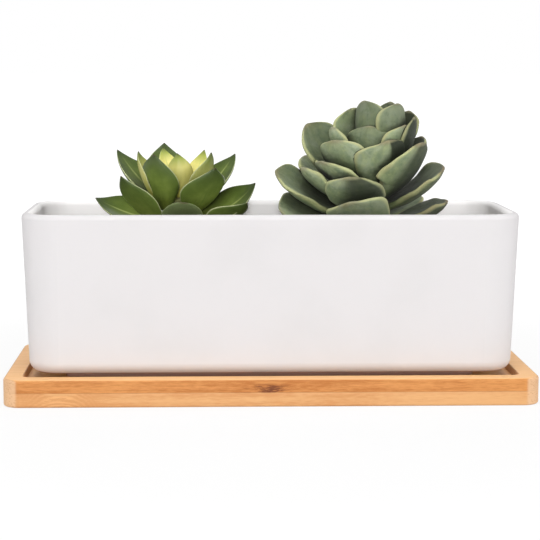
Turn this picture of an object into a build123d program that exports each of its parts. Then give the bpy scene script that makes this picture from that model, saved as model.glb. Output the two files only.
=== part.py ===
from build123d import *
import os
from math import atan2, cos, hypot, radians, sin, tan

os.makedirs("parts", exist_ok=True)

# Indoor planter: a glazed ceramic trough on a two-ply bamboo tray, planted with two rosette succulents.
# The origin is on the table under the middle of the tray, +X runs along the trough and +Z is up.

# Trough, slip-cast and glazed
pot_length = 263.0  # over the rim
pot_width = 98.0
pot_height = 89.0  # from under the foot ring
pot_lean = 2.3  # degrees that each wall leans out
pot_corner_radius = 20.0  # in plan, at the rim
pot_wall = 5.5
pot_floor = 6.0
pot_base_round = 6.0  # under the outside of the walls
cavity_round = 6.0  # round the floor, inside
rim_round = 2.6
foot_ring_inset = 18.0  # from the foot of the walls
foot_ring_width = 8.0
foot_ring_height = 5.0
foot_ring_corner_radius = 3.0  # inside the ring
drain_hole_diameter = 12.0
drain_hole_spacing = 120.0

# Tray, two plies of edge-glued bamboo staves
lower_ply = 7.6
upper_ply = 7.0
recess_depth = 4.6
recess_gap = 2.3  # from the foot of the walls to the side of the recess
tray_rim_width = 9.6
tray_corner_radius = 9.0
recess_corner_radius = 4.0
tray_edge_round = 1.2
recess_edge_round = 0.5
staves_per_ply = 5

# Soil and the net squares over the drain holes
soil_below_rim = 12.0
soil_clearance = 0.3
screen_size = 30.0
screen_thickness = 0.8
screen_gap = 2.4
screen_strand = 1.2

# Root balls
root_ball_radius = 26.0  # at the surface
root_ball_foot_radius = 20.0
root_ball_depth = 42.0
root_ball_clearance = 0.3

# Rosettes
mouth_clearance = 4.0  # from the longest leaf to the trough's wall, front and back
leaf_root_depth = 1.5  # how far a leaf's root is let into the stem's side

left_plant_x = -49.0
left_spread = 46.0  # from the stem's axis to the furthest tip, along the trough
left_height = 46.0  # above the soil
left_stem_height = 19.0
left_stem_lean = 1.0  # sideways, from the foot to the top
left_stem_radius = 6.0
left_stem_top_radius = 3.6
left_leaf_width = 24.0
left_leaf_thickness = 3.4
left_leaf_curl = 30.0  # degrees that a leaf turns up from root to tip

right_plant_x = 52.0
right_spread = 50.0
right_height = 70.0
right_stem_height = 39.0
right_stem_lean = 7.0
right_stem_radius = 7.5
right_stem_top_radius = 4.0
right_leaf_width = 30.0
right_leaf_thickness = 3.8
right_leaf_curl = 38.0

# Leaf outlines: share of the length, share of the width, share of the thickness
pointed_leaf = [
    (0.00, 0.21, 0.55),
    (0.24, 0.66, 0.90),
    (0.52, 1.00, 1.00),
    (0.78, 0.68, 0.72),
    (0.93, 0.26, 0.42),
    (1.00, 0.03, 0.12),
]
spoon_leaf = [
    (0.00, 0.19, 0.55),
    (0.28, 0.56, 0.90),
    (0.60, 0.96, 1.00),
    (0.80, 0.94, 0.85),
    (0.94, 0.54, 0.50),
    (1.00, 0.06, 0.15),
]

# Leaves from the lowest to the heart: direction in degrees from +X towards +Y, then in percent the seat up
# the stem, the reach of the tip across the rosette, the height of the tip and the width, and last the
# roll of the blade about its own length in degrees.
left_leaves = [
    (273, 20, 97, 36, 88, 0),
    (186, 20, 100, 34, 79, -28),
    (335, 20, 88, 33, 83, -10),
    (48, 20, 97, 33, 79, 0),
    (126, 20, 98, 37, 79, 0),
    (88, 40, 95, 50, 75, 0),
    (350, 36, 90, 55, 75, -16),
    (220, 42, 94, 64, 96, 14),
    (58, 52, 84, 68, 75, 0),
    (303, 56, 80, 75, 100, 0),
    (22, 66, 74, 86, 79, 20),
    (162, 60, 83, 90, 88, -20),
    (238, 64, 62, 89, 96, 0),
    (105, 76, 56, 98, 88, 0),
    (335, 74, 40, 91, 71, 0),
    (176, 82, 48, 91, 62, -15),
    (48, 86, 47, 93, 52, 8),
    (268, 88, 22, 90, 75, 0),
    (128, 92, 24, 96, 54, 0),
]
right_leaves = [
    (355, 12, 90, 22, 87, 15),
    (199, 12, 100, 21, 87, -20),
    (262, 12, 97, 28, 100, 0),
    (95, 12, 97, 21, 77, 0),
    (142, 16, 98, 24, 80, 0),
    (48, 16, 97, 26, 80, 0),
    (186, 26, 100, 45, 83, -34),
    (348, 30, 83, 50, 73, 15),
    (251, 30, 94, 43, 100, 0),
    (122, 32, 95, 39, 77, 0),
    (65, 31, 95, 43, 77, 0),
    (200, 43, 83, 49, 73, -15),
    (147, 45, 86, 55, 77, -6),
    (216, 50, 78, 55, 83, 0),
    (323, 45, 73, 69, 97, 0),
    (20, 50, 64, 72, 73, 0),
    (90, 46, 86, 57, 85, 0),
    (167, 56, 70, 77, 90, -32),
    (220, 65, 68, 71, 87, 0),
    (294, 57, 61, 71, 93, 0),
    (57, 62, 60, 74, 73, 0),
    (112, 66, 54, 77, 67, 0),
    (347, 62, 53, 88, 60, 0),
    (313, 70, 44, 82, 57, 0),
    (34, 74, 50, 92, 67, 0),
    (250, 76, 32, 81, 77, 0),
    (192, 74, 46, 80, 47, 0),
    (148, 84, 28, 92, 63, -10),
    (324, 94, 25, 98, 60, 0),
    (52, 90, 29, 99, 50, 0),
    (215, 93, 14, 98, 60, 0),
]

# Heights up the planter
tray_height = lower_ply + upper_ply
pot_foot_height = tray_height - recess_depth
pot_base_height = pot_foot_height + foot_ring_height
floor_height = pot_base_height + pot_floor
rim_height = pot_foot_height + pot_height
soil_height = rim_height - soil_below_rim
wall_height = pot_height - foot_ring_height


def wall_lean(height):
    return (wall_height - height) * tan(radians(pot_lean))


def trough_outline(height, inset):
    outline_inset = wall_lean(height) + inset
    RectangleRounded(
        pot_length - 2 * outline_inset,
        pot_width - 2 * outline_inset,
        pot_corner_radius - outline_inset,
    )


# Tray: both plies are cut to one outline, and the recess is milled from the top
recess_length = pot_length - 2 * wall_lean(0) + 2 * recess_gap
recess_width = pot_width - 2 * wall_lean(0) + 2 * recess_gap
tray_length = recess_length + 2 * tray_rim_width
tray_width = recess_width + 2 * tray_rim_width
stave_width = tray_width / staves_per_ply

with BuildPart() as tray_board:
    with BuildSketch():
        RectangleRounded(tray_length, tray_width, tray_corner_radius)
    extrude(amount=tray_height)
    fillet(tray_board.edges().group_by(Axis.Z)[0], tray_edge_round)
    fillet(tray_board.edges().group_by(Axis.Z)[-1], tray_edge_round)
    with BuildSketch(Plane.XY.offset(tray_height)):
        RectangleRounded(recess_length, recess_width, recess_corner_radius)
    extrude(amount=-recess_depth, mode=Mode.SUBTRACT)
    recess_mouth = tray_board.faces().sort_by(Axis.Z)[-1].inner_wires()
    fillet(recess_mouth.edges(), recess_edge_round)


def tray_ply(name, bottom, thickness):
    staves = []
    for index in range(staves_per_ply):
        middle = (index + 0.5) * stave_width - tray_width / 2
        with BuildPart() as stave:
            add(tray_board.part)
            with BuildSketch(Plane.XY.offset(bottom)):
                with Locations((0, middle)):
                    Rectangle(tray_length, stave_width)
            extrude(amount=thickness, mode=Mode.INTERSECT)
        staves.append(stave.part)
    ply = Compound(label=name, children=staves)
    export_step(ply, f"parts/{name}.step")


tray_ply("tray_lower_ply", 0, lower_ply)
tray_ply("tray_upper_ply", lower_ply, upper_ply)

# Trough
drain_holes = [(-drain_hole_spacing / 2, 0), (drain_hole_spacing / 2, 0)]
ring_length = pot_length - 2 * (wall_lean(0) + foot_ring_inset)
ring_width = pot_width - 2 * (wall_lean(0) + foot_ring_inset)
hollow_length = ring_length - 2 * foot_ring_width
hollow_width = ring_width - 2 * foot_ring_width

with BuildPart() as pot:
    with BuildSketch(Plane.XY.offset(pot_base_height)):
        trough_outline(0, 0)
    extrude(amount=wall_height, taper=-pot_lean)
    fillet(pot.edges().group_by(Axis.Z)[0], pot_base_round)
    with BuildSketch(Plane.XY.offset(floor_height)):
        trough_outline(pot_floor, pot_wall)
    extrude(amount=wall_height - pot_floor, taper=-pot_lean, mode=Mode.SUBTRACT)
    cavity_floor = pot.faces().filter_by(Plane.XY).sort_by(Axis.Z)[-2]
    fillet(cavity_floor.edges(), cavity_round)
    fillet(pot.edges().group_by(Axis.Z)[-1], rim_round)
    with BuildSketch(Plane.XY.offset(pot_foot_height)):
        RectangleRounded(ring_length, ring_width, foot_ring_corner_radius + foot_ring_width)
        RectangleRounded(hollow_length, hollow_width, foot_ring_corner_radius, mode=Mode.SUBTRACT)
    extrude(amount=foot_ring_height)
    with BuildSketch(Plane.XY.offset(pot_base_height)):
        with Locations(*drain_holes):
            Circle(drain_hole_diameter / 2)
    extrude(amount=pot_floor, mode=Mode.SUBTRACT)
pot.part.label = "pot"
export_step(pot.part, "parts/pot.step")

# Net squares on the floor over the drain holes
net_pitch = screen_gap + screen_strand
net_gaps = int((screen_size - screen_strand) // net_pitch)
screens = []
for hole in drain_holes:
    with BuildPart() as screen:
        with BuildSketch(Plane.XY.offset(floor_height)):
            with Locations(hole):
                Rectangle(screen_size, screen_size)
                with GridLocations(net_pitch, net_pitch, net_gaps, net_gaps):
                    Rectangle(screen_gap, screen_gap, mode=Mode.SUBTRACT)
        extrude(amount=screen_thickness)
    screens.append(screen.part)
export_step(Compound(label="drain_screens", children=screens), "parts/drain_screens.step")

# Soil, with a pocket over each net square and a well for each root ball
plant_places = [(left_plant_x, 0), (right_plant_x, 0)]
root_ball_foot_height = soil_height - root_ball_depth

with BuildPart() as soil:
    with BuildSketch(Plane.XY.offset(floor_height)):
        trough_outline(pot_floor, pot_wall + soil_clearance)
    extrude(amount=soil_height - floor_height, taper=-pot_lean)
    fillet(soil.edges().group_by(Axis.Z)[0], cavity_round + soil_clearance)
    with BuildSketch(Plane.XY.offset(floor_height)):
        with Locations(*drain_holes):
            Rectangle(screen_size + 2 * soil_clearance, screen_size + 2 * soil_clearance)
    extrude(amount=screen_thickness, mode=Mode.SUBTRACT)
    with Locations(*[(x, y, root_ball_foot_height) for x, y in plant_places]):
        Cone(
            root_ball_foot_radius + root_ball_clearance,
            root_ball_radius + root_ball_clearance,
            root_ball_depth,
            align=(Align.CENTER, Align.CENTER, Align.MIN),
            mode=Mode.SUBTRACT,
        )
soil.part.label = "potting_soil"
export_step(soil.part, "parts/potting_soil.step")


# A leaf's inner face follows an arc that stands upright in the leaf's direction. Across, it is hollow about
# the stem, so that leaves of different slope lie inside each other like cups.
mouth_half_width = pot_width / 2 - pot_wall - mouth_clearance
least_hollow = 0.10  # of half the width
most_hollow = 0.60
least_slope = 0.15  # sine of the slope under which the hollow grows no shallower


def rosette_reach(azimuth, spread):
    return spread * mouth_half_width / hypot(mouth_half_width * cos(azimuth), spread * sin(azimuth))


def root_ball(name, plant_x):
    with BuildPart() as ball:
        with Locations((plant_x, 0, root_ball_foot_height)):
            Cone(
                root_ball_foot_radius,
                root_ball_radius,
                root_ball_depth,
                align=(Align.CENTER, Align.CENTER, Align.MIN),
            )
    ball.part.label = name
    export_step(ball.part, f"parts/{name}.step")


def rosette(name, plant_x, spread, rise, stem_size, stem_lean, leaf_size, curl, outline, leaves):
    stem_height, stem_radius, stem_top_radius = stem_size
    widest, thickest = leaf_size
    with BuildPart() as stem:
        with BuildSketch(Plane.XY.offset(soil_height)):
            with Locations((plant_x, 0)):
                Circle(stem_radius)
        with BuildSketch(Plane.XY.offset(soil_height + stem_height)):
            with Locations((plant_x + stem_lean, 0)):
                Circle(stem_top_radius)
        loft(ruled=True)
    stem.part.label = f"{name}_stem"
    export_step(stem.part, f"parts/{name}_stem.step")

    for number, (direction, seat, reach, tip, breadth, roll) in enumerate(leaves, 1):
        azimuth = radians(direction)
        seat_share = seat / 100
        root = stem_radius + (stem_top_radius - stem_radius) * seat_share - leaf_root_depth
        run = rosette_reach(azimuth, spread) * reach / 100 - root
        climb = rise * tip / 100 - stem_height * seat_share
        root_slope = atan2(climb, run) - curl / 2
        arc_radius = hypot(climb, run) / (2 * sin(curl / 2))
        with BuildPart() as leaf:
            for along, width_share, thickness_share in outline:
                slope = root_slope + curl * along
                radius = root + arc_radius * (sin(slope) - sin(root_slope))
                height = stem_height * seat_share + arc_radius * (cos(root_slope) - cos(slope))
                across = Plane(
                    origin=(
                        plant_x + stem_lean * seat_share + radius * cos(azimuth),
                        radius * sin(azimuth),
                        soil_height + height,
                    ),
                    x_dir=(-sin(azimuth), cos(azimuth), 0),
                    z_dir=(cos(slope) * cos(azimuth), cos(slope) * sin(azimuth), sin(slope)),
                )
                half = widest * breadth / 100 * width_share / 2
                thickness = thickest * breadth / 100 * thickness_share
                cup_radius = max(radius, root) / max(sin(slope), least_slope)
                hollow = max(half**2 / (2 * cup_radius), least_hollow * half)
                hollow = min(hollow, most_hollow * half)
                with BuildSketch(across.rotated((0, 0, roll))):
                    with BuildLine():
                        ThreePointArc((-half, hollow), (0, 0), (half, hollow))
                        ThreePointArc((half, hollow), (0, -thickness), (-half, hollow))
                    make_face()
            loft()
            add(stem.part, mode=Mode.SUBTRACT)
        leaf.part.label = f"{name}_leaf_{number:02d}"
        export_step(leaf.part, f"parts/{name}_leaf_{number:02d}.step")


root_ball("left_root_ball", left_plant_x)
rosette(
    "left",
    left_plant_x,
    left_spread,
    left_height,
    (left_stem_height, left_stem_radius, left_stem_top_radius),
    left_stem_lean,
    (left_leaf_width, left_leaf_thickness),
    radians(left_leaf_curl),
    pointed_leaf,
    left_leaves,
)

root_ball("right_root_ball", right_plant_x)
rosette(
    "right",
    right_plant_x,
    right_spread,
    right_height,
    (right_stem_height, right_stem_radius, right_stem_top_radius),
    right_stem_lean,
    (right_leaf_width, right_leaf_thickness),
    radians(right_leaf_curl),
    spoon_leaf,
    right_leaves,
)
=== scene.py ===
from math import atan, atan2, cos, pi, radians, sin, sqrt
from random import Random

import bpy
import numpy as np
from mathutils import Matrix, Quaternion, Vector
from mathutils.bvhtree import BVHTree


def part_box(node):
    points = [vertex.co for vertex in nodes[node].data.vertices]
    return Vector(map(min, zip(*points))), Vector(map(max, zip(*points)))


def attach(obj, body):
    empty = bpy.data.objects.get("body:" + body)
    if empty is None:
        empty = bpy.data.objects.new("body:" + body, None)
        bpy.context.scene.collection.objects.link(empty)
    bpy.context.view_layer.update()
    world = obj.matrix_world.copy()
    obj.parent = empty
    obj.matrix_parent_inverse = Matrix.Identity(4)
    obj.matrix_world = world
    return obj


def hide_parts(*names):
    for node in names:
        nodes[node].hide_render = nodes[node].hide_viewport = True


# The CAD frame: bamboo tray, glazed trough, soil and the two rosettes
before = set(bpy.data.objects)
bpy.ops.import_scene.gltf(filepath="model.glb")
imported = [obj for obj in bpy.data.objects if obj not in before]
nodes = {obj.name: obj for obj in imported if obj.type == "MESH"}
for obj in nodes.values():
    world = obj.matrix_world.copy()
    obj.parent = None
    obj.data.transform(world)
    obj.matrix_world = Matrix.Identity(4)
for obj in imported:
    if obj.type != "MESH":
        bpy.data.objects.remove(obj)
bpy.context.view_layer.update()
print("frame loaded:", len(nodes), "nodes")


# Working habits: one object in hand at a time
def takeUp(piece):
    bpy.ops.object.select_all(action="DESELECT")
    piece.select_set(True)
    bpy.context.view_layer.objects.active = piece


def addModifier(piece, kind, **settings):
    takeUp(piece)
    modifier = piece.modifiers.new(kind.title(), kind)
    for name, value in settings.items():
        setattr(modifier, name, value)
    bpy.ops.object.modifier_apply(modifier=modifier.name)


def copyOf(source, name):
    piece = source.copy()
    piece.data = source.data.copy()
    piece.name = name
    piece.data.name = name
    bpy.context.collection.objects.link(piece)
    return piece


def pointsOf(mesh):
    flat = np.empty(len(mesh.vertices) * 3, np.float32)
    mesh.vertices.foreach_get("co", flat)
    return flat.reshape(-1, 3).astype(float)


def normalsOf(mesh):
    flat = np.empty(len(mesh.vertices) * 3, np.float32)
    mesh.vertices.foreach_get("normal", flat)
    return flat.reshape(-1, 3).astype(float)


def writeAttribute(mesh, name, values):
    kind = "FLOAT_VECTOR" if np.ndim(values) == 2 else "FLOAT"
    attribute = mesh.attributes.new(name, kind, "POINT")
    field = "vector" if kind == "FLOAT_VECTOR" else "value"
    attribute.data.foreach_set(field, np.asarray(values, np.float32).ravel())


# Shader sockets that can be added and multiplied like numbers
class Wire:
    def __init__(self, paint, socket):
        self.paint = paint
        self.socket = socket

    def calc(self, operation, *terms):
        return self.paint.node("Math", {"operation": operation}, dict(enumerate(terms)))

    def __add__(self, other):
        return self.calc("ADD", self, other)

    def __sub__(self, other):
        return self.calc("SUBTRACT", self, other)

    def __rsub__(self, other):
        return self.calc("SUBTRACT", other, self)

    def __mul__(self, other):
        return self.calc("MULTIPLY", self, other)

    def __truediv__(self, other):
        return self.calc("DIVIDE", self, other)

    def __pow__(self, other):
        return self.calc("POWER", self, other)

    def __abs__(self):
        return self.calc("ABSOLUTE", self)

    __radd__ = __add__
    __rmul__ = __mul__

    def floor(self):
        return self.calc("FLOOR", self)

    def sine(self):
        return self.calc("SINE", self)

    def most(self, other):
        return self.calc("MAXIMUM", self, other)

    def least(self, other):
        return self.calc("MINIMUM", self, other)

    def step(self, low, high):
        # 0 under low, 1 over high, smooth between; low may be the larger
        settings = {"interpolation_type": "SMOOTHSTEP"}
        return self.paint.node("MapRange", settings, {0: self, 1: low, 2: high, 3: 0.0, 4: 1.0})

    def bell(self, middle, width):
        return self.calc("EXPONENT", 0.0 - ((self - middle) / width) ** 2)


class Paint:
    def __init__(self, name):
        self.material = bpy.data.materials.new(name)
        self.material.use_nodes = True
        self.tree = self.material.node_tree
        self.shader = self.tree.nodes["Principled BSDF"]

    def node(self, kind, settings=None, sockets=None, output=0):
        made = self.tree.nodes.new("ShaderNode" + kind)
        for name, value in (settings or {}).items():
            if name == "stops":
                self.setStops(made.color_ramp, value)
            else:
                setattr(made, name, value)
        for key, value in (sockets or {}).items():
            self.plug(made.inputs[key], value)
        return Wire(self, made.outputs[output])

    def plug(self, socket, value):
        if isinstance(value, Wire):
            self.tree.links.new(value.socket, socket)
        elif socket.type == "RGBA":
            socket.default_value = (*value, 1.0)[:4]
        else:
            socket.default_value = value

    def setStops(self, ramp, stops):
        while len(ramp.elements) < len(stops):
            ramp.elements.new(1.0)
        for element, (place, colour) in zip(ramp.elements, stops):
            element.position = place
            element.color = (*colour, 1.0)

    def set(self, **sockets):
        for key, value in sockets.items():
            words = "".join(" " + letter if letter.isupper() else letter for letter in key)
            self.plug(self.shader.inputs[words.strip().title()], value)

    def place(self):
        return self.node("TexCoord", output="Object")

    def split(self, vector):
        node = self.tree.nodes.new("ShaderNodeSeparateXYZ")
        self.plug(node.inputs[0], vector)
        return [Wire(self, socket) for socket in node.outputs]

    def join(self, x, y, z):
        return self.node("CombineXYZ", None, {0: x, 1: y, 2: z})

    def mix(self, share, first, second, blend="MIX"):
        settings = {"data_type": "RGBA", "blend_type": blend}
        return self.node("Mix", settings, {0: share, 6: first, 7: second}, output=2)

    def noise(self, vector, scale, detail=2.0, rough=0.5):
        sockets = {"Vector": vector, "Scale": scale, "Detail": detail, "Roughness": rough}
        return self.node("TexNoise", None, sockets)

    def cells(self, vector, scale):
        return self.node("TexVoronoi", None, {"Vector": vector, "Scale": scale})

    def ramp(self, stops, value):
        return self.node("ValToRGB", {"stops": stops}, {0: value})

    def attribute(self, name):
        return self.node("Attribute", {"attribute_name": name}, output="Fac")

    def attributeParts(self, name):
        return self.split(self.node("Attribute", {"attribute_name": name}, output="Vector"))

    def hold(self, name, value):
        self.shader.inputs[name].default_value = value

    def bump(self, height, depth):
        normal = self.node("Bump", None, {"Height": height, "Distance": depth, "Strength": 1.0})
        self.plug(self.shader.inputs["Normal"], normal)


# Trough: white satin glaze, painted lighter inside as painted light, with the base left as bare clay that
# is painted dark as painted shade in the recess
potLow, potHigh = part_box("pot")
glaze = {
    "white": (0.693, 0.674, 0.680),
    "pooled": (0.670, 0.653, 0.657),
    # painted light: the inside is painted lighter than the outside, to make up for light that the shaded
    # inside lacks
    "inside": (0.97, 0.95, 0.945),
    "corner": 0.020,
    "lean": 0.04,  # inwards for each metre down
    "wall": 0.0030,  # how far in from the outside the inner face begins to count
    "wallBlend": 0.0008,
    "innerFloor": (0.009, 0.010),  # the inner face counts above this height
    "bareBelow": (0.0060, 0.0053),
    # bare clay, painted darker than clay as painted shade of the recess
    "clay": (0.34, 0.20, 0.155),
    "clayGritAndShade": (0.43, 0.27, 0.21),
    "roughness": 0.50,
    "bareRoughness": 0.45,
    "shine": 0.28,
    "rippleDepth": 0.00006,
}


def glazePaint():
    paint = Paint("whiteGlaze")
    place = paint.place()
    x, y, height = paint.split(place)
    taper = (potHigh.z - height) * glaze["lean"] + glaze["corner"]
    aside = (abs(x) + taper - potHigh.x).most(0.0)
    ahead = (abs(y) + taper - potHigh.y).most(0.0)
    depth = glaze["corner"] - (aside * aside + ahead * ahead) ** 0.5
    # painted light: where the lighter inside paint goes
    inside = depth.step(glaze["wall"], glaze["wall"] + glaze["wallBlend"])
    inside = inside * height.step(*(potLow.z + level for level in glaze["innerFloor"]))
    bare = height.step(*(potLow.z + level for level in glaze["bareBelow"]))
    mottle = paint.noise(place, 24.0, 3.0)
    pooled = paint.mix(mottle.step(0.45, 0.75), glaze["white"], glaze["pooled"])
    grit = paint.noise(place, 1800.0, 2.0)
    # bare clay on the foot, partly its own colour and partly painted shade of the recess
    clay = paint.mix(grit, glaze["clay"], glaze["clayGritAndShade"])
    ripple = paint.noise(place, 110.0, 2.0)
    paint.set(
        baseColor=paint.mix(bare, paint.mix(inside, pooled, glaze["inside"]), clay),
        roughness=glaze["roughness"] + mottle * 0.08 + bare * glaze["bareRoughness"],
    )
    paint.hold("Specular IOR Level", glaze["shine"])
    paint.bump(ripple + grit * bare, glaze["rippleDepth"])
    return paint.material


nodes["pot"].data.materials.clear()
nodes["pot"].data.materials.append(glazePaint())
print("trough glazed")

# Tray: bamboo staves along X, two plies
trayLow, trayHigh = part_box("tray_lower_ply")
trayWidth = trayHigh.y - trayLow.y
plySeam = trayHigh.z
bamboo = {
    "staves": 5,
    "fibres": 1500.0,  # per metre across the grain
    "fibreStretch": 0.13,  # along the grain against across it
    "streaks": 420.0,
    "streakStretch": 0.03,
    "knuckleReach": 0.010,
    "knuckleSpread": 0.26,  # how far apart along X the hidden knuckles may lie
    "bow": 0.0012,
    "knotHeight": 0.0022,
    "archWidth": 0.009,
    "archHeight": 0.0024,
    "archReach": 0.012,
    "swirlUp": 0.0035,
    "swirlHeight": 0.0007,
    "fadeFrom": (0.02, 0.11),  # paler grain towards the right end
    "fade": 0.07,
    "litTopShare": 0.75,
    "endGrain": (0.775, 0.505, 0.295),
    "endSpeck": (0.50, 0.25, 0.12),
    "glue": (0.28, 0.12, 0.05),
    "roughness": 0.42,
    "shine": 0.3,
    "fibreDepth": 0.00005,
}
bambooPlies = {
    "tray_lower_ply": {
        "pale": (0.75, 0.418, 0.18),
        "dark": (0.63, 0.295, 0.107),
        # painted light: the lighter tone put on faces that look up
        "top": (0.95, 0.56, 0.265),
        "knuckle": (0.84, 0.47, 0.20),
        "frontKnuckle": -0.110,
        "knuckleHeight": trayLow.z + 0.0035,
        "arches": 0.5,
        "stain": 0.16,
        "stainShift": 0.003,
        "stainReach": 0.026,
        "seed": 3.0,
    },
    "tray_upper_ply": {
        "pale": (0.69, 0.302, 0.088),
        "dark": (0.48, 0.166, 0.036),
        # painted light: the lighter tone put on faces that look up
        "top": (0.985, 0.60, 0.275),
        "knuckle": (0.17, 0.045, 0.012),
        "frontKnuckle": -0.002,
        "knuckleHeight": plySeam + 0.0018,
        "arches": 0.0,
        "stain": 0.09,
        "stainShift": 0.002,
        "stainReach": 0.034,
        "seed": 11.0,
    },
}


def bambooPaint(name, ply):
    paint = Paint(name)
    place = paint.place()
    x, y, z = paint.split(place)
    staveAt = (y - trayLow.y) * (bamboo["staves"] / trayWidth)
    stave = staveAt.most(0.01).least(bamboo["staves"] - 0.01).floor()
    chance = paint.node("TexWhiteNoise", {"noise_dimensions": "1D"}, {"W": stave + ply["seed"]})
    other = paint.node("TexWhiteNoise", {"noise_dimensions": "1D"}, {"W": stave + ply["seed"] + 50.0})

    # knuckles: one on each stave, the front one where it shows
    front = stave.step(0.6, 0.4)
    hiddenAt = (chance - 0.5) * bamboo["knuckleSpread"]
    knuckleAt = front * ply["frontKnuckle"] + (1.0 - front) * hiddenAt
    drift = paint.noise(paint.join(x * 60.0, y * 240.0, z * 240.0), 1.0, 2.0)
    knuckle = (x + drift * 0.012 - 0.006).bell(knuckleAt, bamboo["knuckleReach"])

    # grain bows round a knuckle
    bow = knuckle * bamboo["bow"]
    sideways = stave * 0.37
    fibreAt = paint.join(x * bamboo["fibreStretch"] + sideways, y + bow, z + bow)
    streakAt = paint.join(x * bamboo["streakStretch"] + sideways, y + bow, z + bow)
    fibre = paint.noise(fibreAt, bamboo["fibres"], 3.0, 0.65)
    streak = paint.noise(streakAt, bamboo["streaks"], 3.0, 0.55)
    patch = paint.noise(paint.join(x * 0.22 + sideways, y, z), 130.0, 2.0)
    fromKnuckle = x - ply["frontKnuckle"]
    stain = fromKnuckle.bell(ply["stainShift"], ply["stainReach"]) * front * ply["stain"]
    fade = x.step(*bamboo["fadeFrom"]) * bamboo["fade"]
    grain = (fibre * 0.55 + streak * 0.5 + patch * 0.35 + stain - fade - 0.20).step(0.32, 0.68)
    long = paint.mix(grain, ply["pale"], ply["dark"])
    tone = paint.mix(chance * 0.2, long, ply["dark"])
    normal = paint.node("NewGeometry", output="Normal")
    xFacing, yFacing, zFacing = paint.split(normal)
    # painted light: faces that look up are painted lighter, as they catch the light from above
    tone = paint.mix(zFacing.step(0.5, 0.9) * bamboo["litTopShare"], tone, ply["top"])

    # on the front edge a knuckle is a dark knot, or pale arches, under a pale swirl
    onFront = yFacing.step(-0.4, -0.8)
    aboveKnuckle = z - ply["knuckleHeight"]
    crack = (fibre * 0.8 + streak * 0.5).step(0.50, 0.80)
    knot = knuckle * crack * (0.2 + onFront * aboveKnuckle.bell(0.0, bamboo["knotHeight"]))
    tone = paint.mix(knot.step(0.04, 0.90) * (1.0 - ply["arches"]), tone, ply["knuckle"])
    arch = (fromKnuckle / bamboo["archWidth"]) ** 2 + aboveKnuckle / bamboo["archHeight"]
    arch = (arch * 6.0 + drift * 9.0 + fibre * 6.0).sine()
    arch = arch.step(-0.5, 0.9) * fromKnuckle.bell(0.0, bamboo["archReach"]) * onFront
    tone = paint.mix(arch * ply["arches"], tone, ply["knuckle"])
    swirl = knuckle.step(0.35, 0.9) * aboveKnuckle.bell(bamboo["swirlUp"], bamboo["swirlHeight"]) * onFront
    tone = paint.mix(swirl * 0.7, tone, ply["pale"])

    # end grain on the ends and corners
    endOn = abs(xFacing).step(0.10, 0.30)
    bundle = paint.cells(paint.join(x * 0.15, y, z), 1250.0)
    speck = bundle.step(0.42, 0.18) * (0.35 + other * 0.4)
    end = paint.mix(speck, bamboo["endGrain"], bamboo["endSpeck"])
    end = paint.mix(streak * 0.35, end, ply["dark"])
    tone = paint.mix(endOn, tone, end)

    # glue between the plies and the staves
    edge = abs(staveAt - stave - 0.5)
    between = abs(staveAt - bamboo["staves"] / 2).step(2.2, 2.0)
    seam = edge.step(0.4925, 0.4985) * between * 0.55
    seam = seam.most(abs(z - plySeam).step(0.00030, 0.00008) * (0.32 - 0.22 * endOn))
    tone = paint.mix(seam, tone, bamboo["glue"])
    paint.set(
        baseColor=tone,
        roughness=bamboo["roughness"] + grain * 0.12 + endOn * 0.15,
    )
    paint.hold("Specular IOR Level", bamboo["shine"])
    relief = fibre * (1.0 - 0.5 * endOn) + crack * knuckle + (1.0 - seam) * 0.8 - speck * endOn
    paint.bump(relief, bamboo["fibreDepth"])
    return paint.material


for name, ply in bambooPlies.items():
    nodes[name].data.materials.clear()
    nodes[name].data.materials.append(bambooPaint(name + "_bamboo", ply))
print("tray in bamboo")

# Rosette leaves: one leaf of each kind is modelled flat, root at the origin, length up Z, width along X
# and inner face towards +Y, and its copies are cupped, curled and set where the CAD leaves are
flatThickness = 0.12  # of the flat leaf, which is 1 long and 1 wide
leafForm = {
    "fullWidth": 0.028,  # a leaf this wide or wider has all its flesh
    "cupShare": 0.55,  # of the CAD leaf's depth
    "cupLeast": radians(45),
    "cupMost": radians(130),
    "heartTurn": 2.4,  # radians from one young leaf to the next
    "heartOut": 0.0018,  # from the middle of the stem's top
    "heartSunk": 0.0015,
    "heartFlesh": 0.6,
    "heartCup": radians(120),
    "heartCurl": radians(24),
}
glossyLeaf = {
    "plant": "left",
    "body": "left_plant",
    "slot": "glossy_leaf",
    "leaves": 19,
    "seed": 7,
    "thickness": 0.0036,
    "widen": 1.10,
    "curl": radians(30),
    "twist": radians(5),
    "sway": radians(7),
    "wave": 0.0006,
    "waveSize": 0.016,
    "hearts": 5,
    "heartLength": 0.017,
    "heartWidth": 0.0095,
    "heartLean": 0.5,
    "heartYouth": 1.0,
    "outline": [  # place along the leaf and width there
        (0.00, 0.30), (0.10, 0.44), (0.22, 0.68), (0.36, 0.90), (0.48, 1.00), (0.60, 0.97),
        (0.72, 0.82), (0.82, 0.58), (0.90, 0.33), (0.96, 0.13), (1.00, 0.015),
    ],
    "flesh": [(0.00, 1.00), (0.30, 1.00), (0.60, 0.80), (0.85, 0.50), (1.00, 0.12)],
    "edge": 0.16,
}
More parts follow.
